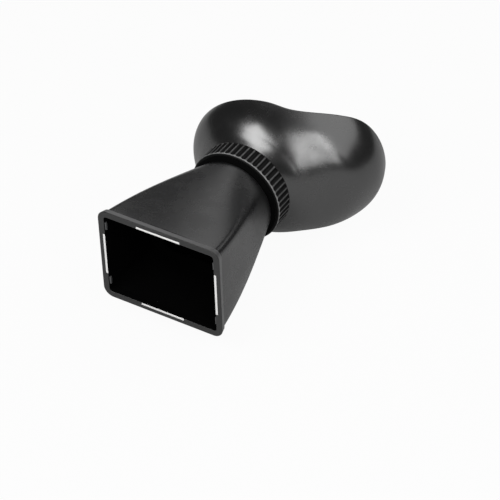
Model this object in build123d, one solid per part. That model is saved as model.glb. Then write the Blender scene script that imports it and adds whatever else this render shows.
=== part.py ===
from build123d import *
import math
import os

# A magnifying hood for a camera screen. The origin is the middle of the front face that meets
# the screen, +Y runs along the optical axis to the eye, +Z is up and +X is to the right as seen
# by someone looking into the window. All sizes are millimetres.

# Screen frame: the flat rectangle that meets the camera
window_width = 64.0
window_height = 48.0
window_corner_radius = 2.5
rim_width = 3.5
frame_depth = 3.4
frame_corner_radius = 5.5
frame_bevel = 0.3
frame_draft = 0.8
lip_length = 1.5
lip_wall = 1.0
tab_length_share = 0.51
tab_reach = 0.9
tab_depth = 1.2
tab_setback = 0.6

# Bar magnets let into the inner edge of the frame
magnet_length = 25.4
magnet_depth = 3.0
magnet_thickness = 1.25

# Housing: rectangular at the frame, round at the neck
housing_length = 65.4
housing_wall = 2.0
housing_step = 0.25
housing_corner_radius = 3.9
neck_radius = 23.1
neck_flange_depth = 2.0
neck_flange_bore_radius = 17.9
station_shares = (0.0, 0.06, 0.18, 0.36, 0.58, 0.8, 1.0)
width_taper_share = 1.62
height_taper_share = 0.87
corner_growth_share = 3.0
bulge_growth_share = 0.95
front_bulge_angle = 2.3
neck_bulge_angle = 22.5

# Light baffle: a mask wedged in the taper of the housing
baffle_distance = 34.0
baffle_depth = 1.6
baffle_opening_width = 41.0
baffle_opening_height = 33.0
baffle_corner_radius = 5.0

# Neck barrel: fixed tube that carries every turning and sliding piece
bore_radius = 20.2
barrel_radius = 22.15
spigot_length = 8.2
socket_wall = 1.6
collar_length = 1.7
collar_radius = 25.2
collar_lip = 0.8
barrel_flange_depth = 3.0
barrel_flange_bore_radius = 18.1
barrel_end_margin = 2.2
screw_count = 3
screw_radius = 0.8
screw_length = 4.2
screw_head_radius = 1.5
screw_head_depth = 0.9
screw_driver_width = 0.5

# Focus ring with its grip flutes and cam grooves
washer_thickness = 0.4
washer_wall = 2.2
ring_length = 11.0
ring_radius = 26.3
ring_bevel = 0.6
flute_count = 50
flute_width = 2.6
flute_depth = 0.8
flute_land = 1.0
flute_tip_share = 0.9
cam_wall = 1.0
focus_travel = 6.5
focus_turn_angle = 100.0

# Lens cell and optics
cell_length = 19.0
cell_lead = 9.0
lens_radius = 18.1
lens_edge = 2.0
lens_land = 1.2
field_lens_curve_radius = 82.0
eye_lens_curve_radius = 70.0
spacer_length = 5.4
retainer_depth = 3.0
retainer_slot_width = 1.6
retainer_slot_depth = 1.0
pin_count = 3
pin_radius = 1.0
pin_shank_radius = 0.6
pin_seat_wall = 0.6

# Eyecup and the ring that lets it turn to either eye
carrier_wall = 1.1
carrier_flange_depth = 1.0
carrier_flange_height = 1.3
bead_depth = 4.6
lock_ring_depth = 1.3
lock_ring_height = 2.6
clip_depth = 1.0
clip_groove_depth = 0.8
clip_height = 1.3
clip_gap = 4.0
drag_ring_depth = 0.9
drag_ring_width = 1.1
cup_length = 54.8
cup_base_radius = 26.2
cup_bowl_radius = 43.2
cup_wing_reach = 20.2
cup_wall = 2.2
cup_wing_power_share = 4.0
cup_flattening_share = 0.86
cup_point_count = 24
cup_station_shares = (0.0, 0.045, 0.125, 0.23, 0.385, 0.577, 0.77, 0.89, 0.95, 1.0)
cup_bowl_shares = (0.0, 0.23, 0.545, 0.875, 0.95, 1.0, 0.98, 0.79, 0.66, 0.52)
cup_wing_shares = (0.0, 0.044, 0.12, 0.19, 0.7, 0.94, 1.02, 1.02, 1.01, 1.0)
rim_nose_height = 15.9
rim_middle_height = 23.5
rim_wing_height = 53.2
# Places across the cup, as shares of its half width, and rises from nose to wing
rim_x_shares = (-1.25, -0.95, -0.435, 0.0, 0.21, 0.55, 0.74, 0.98, 1.25)
rim_rise_shares = (0.0, 0.06, 0.505, 1.0, 0.04, 0.5, 0.9, 0.99, 1.0)
rim_nose_count = 4

# Clearances
seat_gap = 0.05
running_gap = 0.05
face_gap = 0.1
cam_gap = 0.15
overrun = 1.0

# Places along the axis, worked out from the sizes above
frame_half_width = window_width / 2 + rim_width
frame_half_height = window_height / 2 + rim_width
neck_end = frame_depth + housing_length
collar_end = neck_end + collar_length
ring_start = collar_end + washer_thickness + face_gap
ring_end = ring_start + ring_length
pin_y = (ring_start + ring_end) / 2
carrier_start = ring_end + face_gap
cup_start = carrier_start
bead_start = carrier_start + carrier_flange_depth
bead_end = bead_start + bead_depth
lock_ring_end = bead_end + lock_ring_depth
clip_start = lock_ring_end + face_gap
clip_end = clip_start + clip_depth
barrel_end = clip_end + barrel_end_margin
cell_start = pin_y - cell_lead
cell_end = cell_start + cell_length
lens_seat = cell_end - retainer_depth - 2 * lens_edge - spacer_length
spigot_start = neck_end - spigot_length
flange_start = spigot_start - neck_flange_depth
socket_radius = neck_radius - socket_wall
carrier_bore_radius = barrel_radius + running_gap
carrier_radius = carrier_bore_radius + carrier_wall
cell_radius = bore_radius - running_gap
cell_bore_radius = lens_radius + seat_gap
lens_dome_radius = lens_radius - lens_land
cam_floor_radius = ring_radius - flute_depth - cam_wall
cup_half_width = cup_bowl_radius + cup_wing_reach


def turned(*points):
    """Solid of revolution about the optical axis, from corners given as (radius, y)."""
    return revolve(make_face(Polyline(*points, close=True)), Axis.Y)


def tube(inner, outer, start, end):
    """Plain tube about the optical axis."""
    return turned((inner, start), (outer, start), (outer, end), (inner, end))


def disc(radius, start, end):
    """Plain cylinder about the optical axis."""
    return turned((0, start), (radius, start), (radius, end), (0, end))


def slab(outline, start, end):
    """Flat outline in X and Z, carried along the axis from start to end."""
    return Pos(0, start, 0) * extrude(Plane.XZ * outline, amount=end - start, dir=(0, 1, 0))


def around(shape, count):
    """Copies of a shape, evenly spaced about the optical axis."""
    return [Rot(0, 360 * index / count, 0) * shape for index in range(count)]


def radial_pin(radius, inner, outer):
    """Cylinder along +X at the height of the guide pins."""
    return Pos(inner, pin_y, 0) * Rot(0, 90, 0) * Cylinder(
        radius, outer - inner, align=(Align.CENTER, Align.CENTER, Align.MIN)
    )


def front_frame():
    """Rectangular bezel with a rear lip, magnet notches and four locating tabs.

    Its sides are widest just behind the front bevel and draw in towards the housing.
    """
    outer = Plane.XZ * RectangleRounded(
        2 * frame_half_width, 2 * frame_half_height, frame_corner_radius
    )
    depth = frame_depth - frame_bevel
    draft_angle = math.degrees(math.atan2(frame_draft, depth))
    frame = extrude(outer, amount=frame_bevel, taper=45)
    frame += extrude(outer, amount=-depth, taper=draft_angle)
    frame = Pos(0, frame_bevel, 0) * frame
    lip = RectangleRounded(
        window_width + 2 * lip_wall, window_height + 2 * lip_wall, window_corner_radius + lip_wall
    )
    frame += slab(lip, frame_depth, frame_depth + lip_length)
    window = RectangleRounded(window_width, window_height, window_corner_radius)
    frame -= slab(window, -overrun, frame_depth + lip_length + overrun)
    for place in magnet_places().values():
        notch = Box(
            magnet_length + 2 * seat_gap,
            magnet_depth + seat_gap + overrun,
            magnet_thickness + seat_gap + overrun,
            align=(Align.CENTER, Align.MAX, Align.MAX),
        )
        corner = Pos(0, magnet_depth + seat_gap, magnet_thickness + seat_gap)
        frame -= place * corner * notch
    # The tabs stand midway on the free stretches between a magnet's ends and the corners.
    free_start = magnet_length / 2
    free_end = window_height / 2 - window_corner_radius
    tab_length = (free_end - free_start) * tab_length_share
    tab = Box(tab_reach + rim_width / 2, tab_depth, tab_length)
    x = window_width / 2 - tab_reach / 2 + rim_width / 4
    z = (free_start + free_end) / 2
    for side in (-1, 1):
        for end in (-1, 1):
            frame += Pos(side * x, tab_setback + tab_depth / 2, end * z) * tab
    return frame


def magnet_places():
    """Where each magnet's seat lies: local Z points from the window's edge into the frame."""
    side = window_width / 2
    top = window_height / 2
    return {
        "magnet_top": Pos(0, 0, top),
        "magnet_bottom": Pos(0, 0, -top) * Rot(0, 180, 0),
        "magnet_right": Pos(side, 0, 0) * Rot(0, 90, 0),
        "magnet_left": Pos(-side, 0, 0) * Rot(0, -90, 0),
    }


def magnet(place):
    """Bar magnet flush with the frame's front face and with the window's edge."""
    bar = Box(
        magnet_length,
        magnet_depth,
        magnet_thickness,
        align=(Align.CENTER, Align.MIN, Align.MIN),
    )
    return place * bar


def housing_section(share, inset):
    """Closed outline across the housing, parallel to its skin at the given inset.

    Gently bulged sides run tangent into four corner arcs. From the frame to the neck the sides
    draw in, the corners grow and the bulge rises, until every arc lies on the neck's circle.
    """
    front_width = frame_half_width - frame_draft - housing_step
    front_height = frame_half_height - frame_draft - housing_step
    half_width = neck_radius + (front_width - neck_radius) * (1 - share**width_taper_share)
    half_height = neck_radius + (front_height - neck_radius) * (1 - share**height_taper_share)
    corner = housing_corner_radius
    corner += (neck_radius - corner) * share**corner_growth_share
    angle = front_bulge_angle
    angle += (neck_bulge_angle - angle) * share**bulge_growth_share
    sine = math.sin(math.radians(angle))
    rise = 1 - math.cos(math.radians(angle))
    # The centres of the side arcs follow from both ends of a corner arc being tangent.
    scale = sine * sine - rise * rise
    across = ((half_width - corner) * sine - (half_height - corner) * rise) / scale
    upward = ((half_height - corner) * sine - (half_width - corner) * rise) / scale
    y = frame_depth + share * housing_length
    top_radius = across + corner - inset
    side_radius = upward + corner - inset
    corner_radius = corner - inset
    top_z = half_height - inset - top_radius
    side_x = half_width - inset - side_radius
    corner_x = across * sine
    corner_z = top_z + across * (1 - rise)

    def corner_point(sign_x, sign_z, degrees):
        turn = math.radians(degrees)
        x = corner_x + corner_radius * math.sin(turn)
        z = corner_z + corner_radius * math.cos(turn)
        return (sign_x * x, y, sign_z * z)

    far = 90 - angle
    middle = 45
    edges = []
    for sign_x, sign_z in ((1, 1), (-1, -1)):
        crest = (0, y, sign_z * (top_z + top_radius))
        flank = (sign_x * (side_x + side_radius), y, 0)
        start = corner_point(-sign_x, sign_z, angle)
        first = corner_point(sign_x, sign_z, angle)
        second = corner_point(sign_x, sign_z, far)
        third = corner_point(sign_x, -sign_z, far)
        last = corner_point(sign_x, -sign_z, angle)
        edges.append(ThreePointArc(start, crest, first))
        edges.append(ThreePointArc(first, corner_point(sign_x, sign_z, middle), second))
        edges.append(ThreePointArc(second, flank, third))
        edges.append(ThreePointArc(third, corner_point(sign_x, -sign_z, middle), last))
    return Wire(edges)


def housing_loft(inset, shares):
    """Smooth solid through the housing's sections at the given inset."""
    return Solid.make_loft([housing_section(share, inset) for share in shares])


def body_shell():
    """Tapered housing, with a flange and a round socket for the barrel at its neck."""
    outer = housing_loft(0, station_shares)
    inner = housing_loft(housing_wall, station_shares)
    inner -= slab(Rectangle(4 * neck_radius, 4 * neck_radius), flange_start, neck_end + overrun)
    shell = outer - inner
    recess = RectangleRounded(
        window_width + 2 * lip_wall + 2 * face_gap,
        window_height + 2 * lip_wall + 2 * face_gap,
        window_corner_radius + lip_wall + face_gap,
    )
    shell -= slab(recess, frame_depth - overrun, frame_depth + lip_length + face_gap)
    shell -= disc(neck_flange_bore_radius, flange_start - overrun, neck_end)
    shell -= disc(socket_radius, spigot_start, neck_end + overrun)
    shell -= Compound(children=screw_holes(screw_radius + seat_gap))
    return shell


def light_baffle():
    """Black mask that the taper of the housing stops, with a rounded rectangular opening."""
    start_share = (baffle_distance - frame_depth) / housing_length
    end_share = (baffle_distance + baffle_depth - frame_depth) / housing_length
    inset = housing_wall + seat_gap
    mask = Solid.make_loft(
        [housing_section(start_share, inset), housing_section(end_share, inset)], True
    )
    opening = RectangleRounded(baffle_opening_width, baffle_opening_height, baffle_corner_radius)
    return mask - slab(opening, baffle_distance - overrun, baffle_distance + baffle_depth + overrun)


def screw_circle():
    """Radius on which the neck screws stand, midway across the barrel's inner flange."""
    return (barrel_flange_bore_radius + socket_radius) / 2


def screw_holes(radius):
    """Straight holes through both flanges for the neck screws."""
    depth = neck_flange_depth + barrel_flange_depth + 2 * overrun
    hole = Cylinder(radius, depth, align=(Align.CENTER, Align.CENTER, Align.MIN))
    place = Pos(screw_circle(), flange_start - overrun, 0) * Rot(-90, 0, 0)
    return around(place * hole, screw_count)


def neck_screws():
    """Small slotted screws that clamp the barrel to the housing's flange from inside."""
    head = Cylinder(
        screw_head_radius, screw_head_depth, align=(Align.CENTER, Align.CENTER, Align.MAX)
    )
    shank = Cylinder(screw_radius, screw_length, align=(Align.CENTER, Align.CENTER, Align.MIN))
    slot = Box(2 * screw_head_radius, screw_driver_width, screw_driver_width)
    screw = head + shank - Pos(0, 0, -screw_head_depth) * slot
    place = Pos(screw_circle(), flange_start, 0) * Rot(-90, 0, 0)
    return Compound(children=around(place * screw, screw_count))


def neck_barrel():
    """Fixed tube: spigot in the housing, flared collar, and a bearing for the turning rings."""
    spigot_radius = socket_radius - seat_gap
    groove_radius = barrel_radius - clip_groove_depth
    barrel = turned(
        (barrel_flange_bore_radius, spigot_start),
        (spigot_radius, spigot_start),
        (spigot_radius, neck_end),
        (neck_radius, neck_end),
        (collar_radius, collar_end - collar_lip),
        (collar_radius, collar_end),
        (barrel_radius, collar_end),
        (barrel_radius, clip_start),
        (groove_radius, clip_start),
        (groove_radius, clip_end),
        (barrel_radius, clip_end),
        (barrel_radius, barrel_end),
        (bore_radius, barrel_end),
        (bore_radius, spigot_start + barrel_flange_depth),
        (barrel_flange_bore_radius, spigot_start + barrel_flange_depth),
    )
    slot_radius = pin_radius + running_gap
    slot_length = focus_travel + 2 * slot_radius + 2 * face_gap
    slot = SlotOverall(slot_length, 2 * slot_radius, rotation=90)
    window = extrude(Plane.YZ * Rot(0, 0, 90) * slot, amount=collar_radius)
    barrel -= Compound(children=around(Pos(0, pin_y, 0) * window, pin_count))
    barrel -= Compound(children=screw_holes(screw_radius + seat_gap))
    return barrel - drag_groove()


def drag_ring_y():
    """Middle of the drag ring, under the eyecup's bead."""
    return (bead_start + bead_end) / 2


def drag_groove():
    """Square groove round the barrel that holds the drag ring."""
    half = drag_ring_width / 2 + seat_gap
    floor = barrel_radius - drag_ring_depth
    middle = drag_ring_y()
    return tube(floor, barrel_radius + overrun, middle - half, middle + half)


def cup_drag_ring():
    """Soft square-section ring that keeps the eyecup where it is turned."""
    middle = drag_ring_y()
    half = drag_ring_width / 2
    return tube(barrel_radius - drag_ring_depth, barrel_radius, middle - half, middle + half)


def thrust_washer():
    """Slippery flat washer between the collar and the focus ring."""
    inner = barrel_radius + seat_gap
    return tube(inner, inner + washer_wall, collar_end, collar_end + washer_thickness)


def flute():
    """Cutter for one grip flute: a hollow scoop with a pointed end, open at the ring's rear face.

    The scoop's radius follows from its width at the ring's skin and its depth.
    """
    scoop_radius = ((flute_width / 2) ** 2 + flute_depth**2) / (2 * flute_depth)
    tip_length = scoop_radius * flute_tip_share
    tip = Cone(0, scoop_radius, tip_length, align=(Align.CENTER, Align.CENTER, Align.MAX))
    length = ring_length + overrun
    bar = Cylinder(scoop_radius, length, align=(Align.CENTER, Align.CENTER, Align.MIN))
    # The cone meets the ring's skin short of its own tip, by the part that lies above the skin.
    above = (scoop_radius - flute_depth) * flute_tip_share
    start = ring_start + flute_land + tip_length - above
    centre = ring_radius - flute_depth + scoop_radius
    return Pos(0, start, centre) * Rot(-90, 0, 0) * (bar + tip)


def cam_cutters():
    """Cutters for one cam groove: a left-hand helix, its two round ends and a way in at the rear.

    With the ring at rest the guide pin stands midway along the groove, on the +X side.
    """
    half_width = pin_radius + cam_gap
    inner = barrel_radius - overrun
    depth = cam_floor_radius - inner
    lead = focus_travel * 360 / focus_turn_angle
    path = Helix(pitch=lead, height=focus_travel, radius=inner + depth / 2, lefthand=True)
    profile = Plane(path @ 0, x_dir=(1, 0, 0), z_dir=path % 0) * Rectangle(depth, 2 * half_width)
    helix = Rot(-90, 0, 0) * sweep(profile, path=path, is_frenet=True)
    low_end = Rot(0, focus_turn_angle / 2, 0) * Pos(0, -focus_travel / 2, 0)
    high_end = Rot(0, -focus_turn_angle / 2, 0) * Pos(0, focus_travel / 2, 0)
    round_end = radial_pin(half_width, inner, cam_floor_radius)
    entry = Box(
        depth,
        ring_length,
        2 * half_width,
        align=(Align.MIN, Align.MIN, Align.CENTER),
    )
    return [
        low_end * Pos(0, pin_y, 0) * helix,
        low_end * round_end,
        high_end * round_end,
        high_end * Pos(inner, pin_y, 0) * entry,
    ]


def focus_ring():
    """Grip ring that turns on the barrel and drives the guide pins with its cam grooves."""
    bore = barrel_radius + running_gap
    ring = turned(
        (bore, ring_start),
        (ring_radius - ring_bevel, ring_start),
        (ring_radius, ring_start + ring_bevel),
        (ring_radius, ring_end),
        (bore, ring_end),
    )
    ring -= Compound(children=around(flute(), flute_count))
    for cutter in cam_cutters():
        ring -= Compound(children=around(cutter, pin_count))
    return ring


def lens_cell():
    """Sliding tube that holds both lenses, with blind holes for the guide pins."""
    cell = turned(
        (lens_dome_radius, cell_start),
        (cell_radius, cell_start),
        (cell_radius, cell_end),
        (cell_bore_radius, cell_end),
        (cell_bore_radius, lens_seat),
        (lens_dome_radius, lens_seat),
    )
    hole = radial_pin(pin_shank_radius + seat_gap, pin_seat_radius(), cell_radius + overrun)
    return cell - Compound(children=around(hole, pin_count))


def pin_seat_radius():
    """Floor of the blind holes for the guide pins, short of the lens bore."""
    return cell_bore_radius + pin_seat_wall


def guide_pins():
    """Shouldered pins that run in the barrel's straight slots and the ring's cam grooves."""
    tip = cam_floor_radius - cam_gap
    pin = radial_pin(pin_radius, cell_radius + seat_gap, tip)
    pin += radial_pin(pin_shank_radius, pin_seat_radius() + seat_gap, cell_radius + seat_gap)
    return Compound(children=around(pin, pin_count))


def lens(start, curve_radius):
    """Biconvex glass with a flat ground land round its edge."""
    end = start + lens_edge
    sag = curve_radius - math.sqrt(curve_radius**2 - lens_dome_radius**2)
    half = lens_dome_radius / 2
    half_sag = curve_radius - math.sqrt(curve_radius**2 - half**2)
    outline = [
        ThreePointArc((0, start - sag), (half, start - sag + half_sag), (lens_dome_radius, start)),
        Line((lens_dome_radius, start), (lens_radius, start)),
        Line((lens_radius, start), (lens_radius, end)),
        Line((lens_radius, end), (lens_dome_radius, end)),
        ThreePointArc((lens_dome_radius, end), (half, end + sag - half_sag), (0, end + sag)),
        Line((0, end + sag), (0, start - sag)),
    ]
    return revolve(make_face(outline), Axis.Y)


def lens_spacer():
    """Ring that keeps the two lenses apart."""
    start = lens_seat + lens_edge
    return tube(lens_dome_radius, lens_radius, start, start + spacer_length)


def lens_retainer():
    """Ring that holds the lens stack down, with two slots for a pin spanner."""
    ring = tube(lens_dome_radius, lens_radius, cell_end - retainer_depth, cell_end)
    slot = Box(2 * cell_radius, 2 * retainer_slot_depth, retainer_slot_width)
    return ring - Pos(0, cell_end, 0) * slot


def retaining_clip():
    """Open spring ring in the barrel's rear groove that keeps the turning pieces on."""
    groove_radius = barrel_radius - clip_groove_depth
    outer = barrel_radius + clip_height
    clip = tube(groove_radius, outer, clip_start, clip_end)
    middle = (clip_start + clip_end) / 2
    gap = Box(2 * outer, 2 * clip_depth, clip_gap, align=(Align.MIN, Align.CENTER, Align.CENTER))
    return clip - Pos(0, middle, 0) * Rot(0, 90, 0) * gap


def cup_carrier():
    """Flanged sleeve that turns on the barrel and carries the rubber eyecup."""
    return turned(
        (carrier_bore_radius, carrier_start),
        (carrier_radius + carrier_flange_height, carrier_start),
        (carrier_radius + carrier_flange_height, bead_start),
        (carrier_radius, bead_start),
        (carrier_radius, lock_ring_end),
        (carrier_bore_radius, lock_ring_end),
    )


def cup_lock_ring():
    """Ring pressed on the carrier that clamps the eyecup's bead."""
    inner = carrier_radius + seat_gap
    return tube(inner, inner + lock_ring_height, bead_end, lock_ring_end)


def cup_section(station, y, inset):
    """Closed outline across the eyecup: a round bowl with a wing swelling out towards +X."""
    bowl = cup_base_radius + (cup_bowl_radius - cup_base_radius) * cup_bowl_shares[station]
    wing = cup_wing_reach * cup_wing_shares[station]
    points = []
    for index in range(cup_point_count):
        turn = 2 * math.pi * index / cup_point_count
        away = ((1 - math.cos(turn)) / 2) ** 2
        toward = ((1 + math.cos(turn)) / 2) ** cup_wing_power_share
        flat = 1 - (1 - cup_flattening_share) * (1 - away) * cup_bowl_shares[station]
        radius = bowl * flat + wing * toward - inset
        points.append((radius * math.cos(turn), y, radius * math.sin(turn)))
    return Wire([Spline(points, periodic=True)])


def rim_cutter():
    """Everything beyond the eyecup's rim, which sweeps up in an S from the nose to the wing."""
    points = []
    for place, (x_share, rise) in enumerate(zip(rim_x_shares, rim_rise_shares)):
        low, high = rim_nose_height, rim_middle_height
        if place >= rim_nose_count:
            low, high = rim_middle_height, rim_wing_height
        points.append((x_share * cup_half_width, cup_start + low + (high - low) * rise))
    curve = Spline(points)
    top = cup_start + 2 * cup_length
    lid = Polyline(points[-1], (points[-1][0], top), (points[0][0], top), points[0])
    return extrude(make_face([curve, lid]), amount=cup_half_width, both=True)


def cup_offset(station):
    """Inset and lift of the inner skin at a station, square to the outer profile's slope."""
    low = max(station - 1, 0)
    high = min(station + 1, len(cup_station_shares) - 1)
    growth = (cup_bowl_radius - cup_base_radius) * (cup_bowl_shares[high] - cup_bowl_shares[low])
    climb = cup_length * (cup_station_shares[high] - cup_station_shares[low])
    slope = growth / climb
    inset = cup_wall / math.hypot(1, slope)
    return inset, max(inset * slope, 0)


def eyecup():
    """Winged rubber cup: an outer and an inner loft, trimmed along the rim."""
    outer_sections = []
    inner_sections = []
    for station, share in enumerate(cup_station_shares):
        y = cup_start + cup_length * share
        outer_sections.append(cup_section(station, y, 0))
        inset, lift = cup_offset(station)
        if station > 0:
            inner_sections.append(cup_section(station, y + lift, inset))
    # The hollow's top runs out past the rim, so that no two ends lie in one plane.
    inner_sections.append(cup_section(station, y + overrun, inset))
    cup = Solid.make_loft(outer_sections) - rim_cutter()
    hollow = Solid.make_loft(inner_sections)
    hollow -= disc(cup_half_width, cup_start, bead_end)
    cup -= hollow
    cup -= disc(carrier_radius + seat_gap, cup_start - overrun, bead_end + overrun)
    flange = carrier_radius + carrier_flange_height + seat_gap
    return cup - disc(flange, cup_start - overrun, bead_start + seat_gap)


pieces = {
    "front_frame": front_frame(),
    "body_shell": body_shell(),
    "light_baffle": light_baffle(),
    "neck_barrel": neck_barrel(),
    "neck_screws": neck_screws(),
    "thrust_washer": thrust_washer(),
    "cup_drag_ring": cup_drag_ring(),
    "retaining_clip": retaining_clip(),
    "focus_ring": focus_ring(),
    "lens_cell": lens_cell(),
    "guide_pins": guide_pins(),
    "field_lens": lens(lens_seat, field_lens_curve_radius),
    "lens_spacer": lens_spacer(),
    "eye_lens": lens(lens_seat + lens_edge + spacer_length, eye_lens_curve_radius),
    "lens_retainer": lens_retainer(),
    "cup_carrier": cup_carrier(),
    "cup_lock_ring": cup_lock_ring(),
    "eyecup": eyecup(),
}
for magnet_name, magnet_place in magnet_places().items():
    pieces[magnet_name] = magnet(magnet_place)

os.makedirs("parts", exist_ok=True)
for node_name, shape in pieces.items():
    export_step(shape, f"parts/{node_name}.step")
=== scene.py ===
# %% [markdown]
# # A magnifying hood for a camera screen
# The hood is a black plastic box that tapers from a rectangular window to a round neck. On the
# neck turn a ribbed focus ring and a winged rubber eyecup. The construction is loaded as a fixed
# frame, and this file only gives it its looks: smooth skins in place of the faceted ones, a finish
# for every surface, and a plain studio.

# %% Load the frame
import bmesh
import bpy
import numpy as np
from mathutils import Matrix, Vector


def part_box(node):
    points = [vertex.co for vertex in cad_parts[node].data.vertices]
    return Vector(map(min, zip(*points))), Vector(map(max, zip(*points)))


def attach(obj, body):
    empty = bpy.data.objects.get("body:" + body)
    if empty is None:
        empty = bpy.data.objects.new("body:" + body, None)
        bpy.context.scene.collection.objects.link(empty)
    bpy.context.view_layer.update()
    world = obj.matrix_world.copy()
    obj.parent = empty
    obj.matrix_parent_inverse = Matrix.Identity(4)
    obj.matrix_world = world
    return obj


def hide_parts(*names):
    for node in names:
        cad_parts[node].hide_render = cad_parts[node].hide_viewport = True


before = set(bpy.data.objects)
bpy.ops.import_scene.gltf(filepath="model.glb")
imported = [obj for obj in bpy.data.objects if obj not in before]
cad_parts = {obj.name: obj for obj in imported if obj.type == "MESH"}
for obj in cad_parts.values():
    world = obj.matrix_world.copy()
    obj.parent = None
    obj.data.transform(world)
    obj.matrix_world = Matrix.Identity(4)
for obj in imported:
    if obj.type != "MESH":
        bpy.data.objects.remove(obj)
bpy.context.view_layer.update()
MM = 0.001

# %% [markdown]
# ## Reading sizes off the frame
# A skin has to lie exactly where the construction has its piece. Sizes that are typed in twice
# drift apart, so what a box can tell is read from the box round that piece, and only what lies
# within it is given here. Lengths are worked out in millimetres, as they are on a drawing, and are
# turned into metres only when a mesh is made.

# %% Boxes in millimetres


def span(node):
    """Lowest and highest corner of a piece of the frame, in millimetres."""
    low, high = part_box(node)
    return np.array(low) / MM, np.array(high) / MM


shell_low, shell_high = span("body_shell")
print("housing, mm: from", shell_low.round(2), "to", shell_high.round(2))

# %% [markdown]
# ## From a grid of points to a mesh
# Nearly every skin here is a grid: rows run along the piece and columns run round it. Numpy works
# out all the points at once, and each cell of the grid becomes a four-sided face. A closed skin
# has a positive volume when its faces point outwards, so the volume's sign tells whether the
# faces have to be turned over. Blender's own Recalculate Normals would do this too, but the sign
# is a single number that is quick to work out.

# %% Faces and volume of a grid


def grid_faces(rows, columns, wrap_rows, wrap_columns):
    """Four corners of every cell of a grid, whose last row or column may join the first."""
    index = np.arange(rows * columns).reshape(rows, columns)
    if wrap_rows:
        index = np.vstack([index, index[:1]])
    if wrap_columns:
        index = np.hstack([index, index[:, :1]])
    corners = [index[:-1, :-1], index[:-1, 1:], index[1:, 1:], index[1:, :-1]]
    return np.stack(corners, -1).reshape(-1, 4)


def volume_of(points, faces):
    """Signed volume: the sum, over two triangles a face, of a . (b x c) / 6."""
    a, b, c, d = (points[faces[:, k]] for k in range(4))
    first = np.einsum("ij,ij->i", a, np.cross(b, c))
    second = np.einsum("ij,ij->i", a, np.cross(c, d))
    return (first.sum() + second.sum()) / 6


print("cells of 3 x 4 points, closed round:", len(grid_faces(3, 4, False, True)))

# %% [markdown]
# A piece is made from one or more closed grids. Points that fall together at a pole are merged,
# and edges sharper than the crease angle stay sharp while the rest is shaded smooth. The piece
# rides on its body, stands for its node of the frame and belongs to a material slot of the part.
# Where a skin has an outside and a lining, a run of its rows gets a second finish.

# %% A piece from its grids
merge_distance, thin_distance = 0.002 * MM, 0.001 * MM


def make_piece(name, grids, finish, body, stands_for, crease=35.0, lining=None):
    """One object from closed grids, each (points, wrap rows, wrap columns), in millimetres.

    lining is a second finish and the first and last row of the first grid that it covers.
    """
    points, faces, start = [], [], 0
    for grid, wrap_rows, wrap_columns in grids:
        flat = grid.reshape(-1, 3)
        cells = grid_faces(*grid.shape[:2], wrap_rows, wrap_columns)
        if volume_of(flat, cells) < 0:
            cells = cells[:, ::-1]
        points.append(flat)
        faces.append(cells + start)
        start += len(flat)
    mesh = bpy.data.meshes.new(name)
    mesh.from_pydata(np.concatenate(points) * MM, [], np.concatenate(faces).tolist())
    mesh.materials.append(finish)
    if lining:
        second, first_row, last_row = lining
        mesh.materials.append(second)
        row = np.arange(len(mesh.polygons)) // grids[0][0].shape[1]
        lined = (row >= first_row) & (row < last_row)
        mesh.polygons.foreach_set("material_index", lined.astype(int))
    merge = bmesh.new()
    merge.from_mesh(mesh)
    bmesh.ops.remove_doubles(merge, verts=merge.verts, dist=merge_distance)
    bmesh.ops.dissolve_degenerate(merge, edges=merge.edges, dist=thin_distance)
    merge.to_mesh(mesh)
    merge.free()
    mesh.shade_smooth()
    mesh.set_sharp_from_angle(angle=np.radians(crease))
    piece = bpy.data.objects.new(name, mesh)
    bpy.context.scene.collection.objects.link(piece)
    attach(piece, body)
    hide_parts(*stands_for)
    print(f"{name}: {len(mesh.polygons)} faces")


# %% [markdown]
# ## Writing a finish as a formula
# A finish mixes noise, masks and colours. Wired by hand that is dozens of nodes, so a small class
# wraps a socket and lets Python's own signs add the Math nodes: `1 - grain * 0.2` reads as it
# works. Any other node comes from one method that takes its type, its settings and its sockets.

# %% Sockets that add up


class Value:
    """A number that changes over the surface, held as a socket."""

    def __init__(self, finish, socket):
        self.finish = finish
        self.socket = socket

    def _maths(self, operation, first, second):
        return self.finish.node("Math", {"operation": operation}, {0: first, 1: second})

    def __add__(self, other):
        return self._maths("ADD", self, other)

    def __sub__(self, other):
        return self._maths("SUBTRACT", self, other)

    def __rsub__(self, other):
        return self._maths("SUBTRACT", other, self)

    def __mul__(self, other):
        return self._maths("MULTIPLY", self, other)

    def or_more(self, other):
        """The larger of two numbers."""
        return self._maths("MAXIMUM", self, other)

    __radd__ = __add__
    __rmul__ = __mul__


# %% A finish under construction


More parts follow.
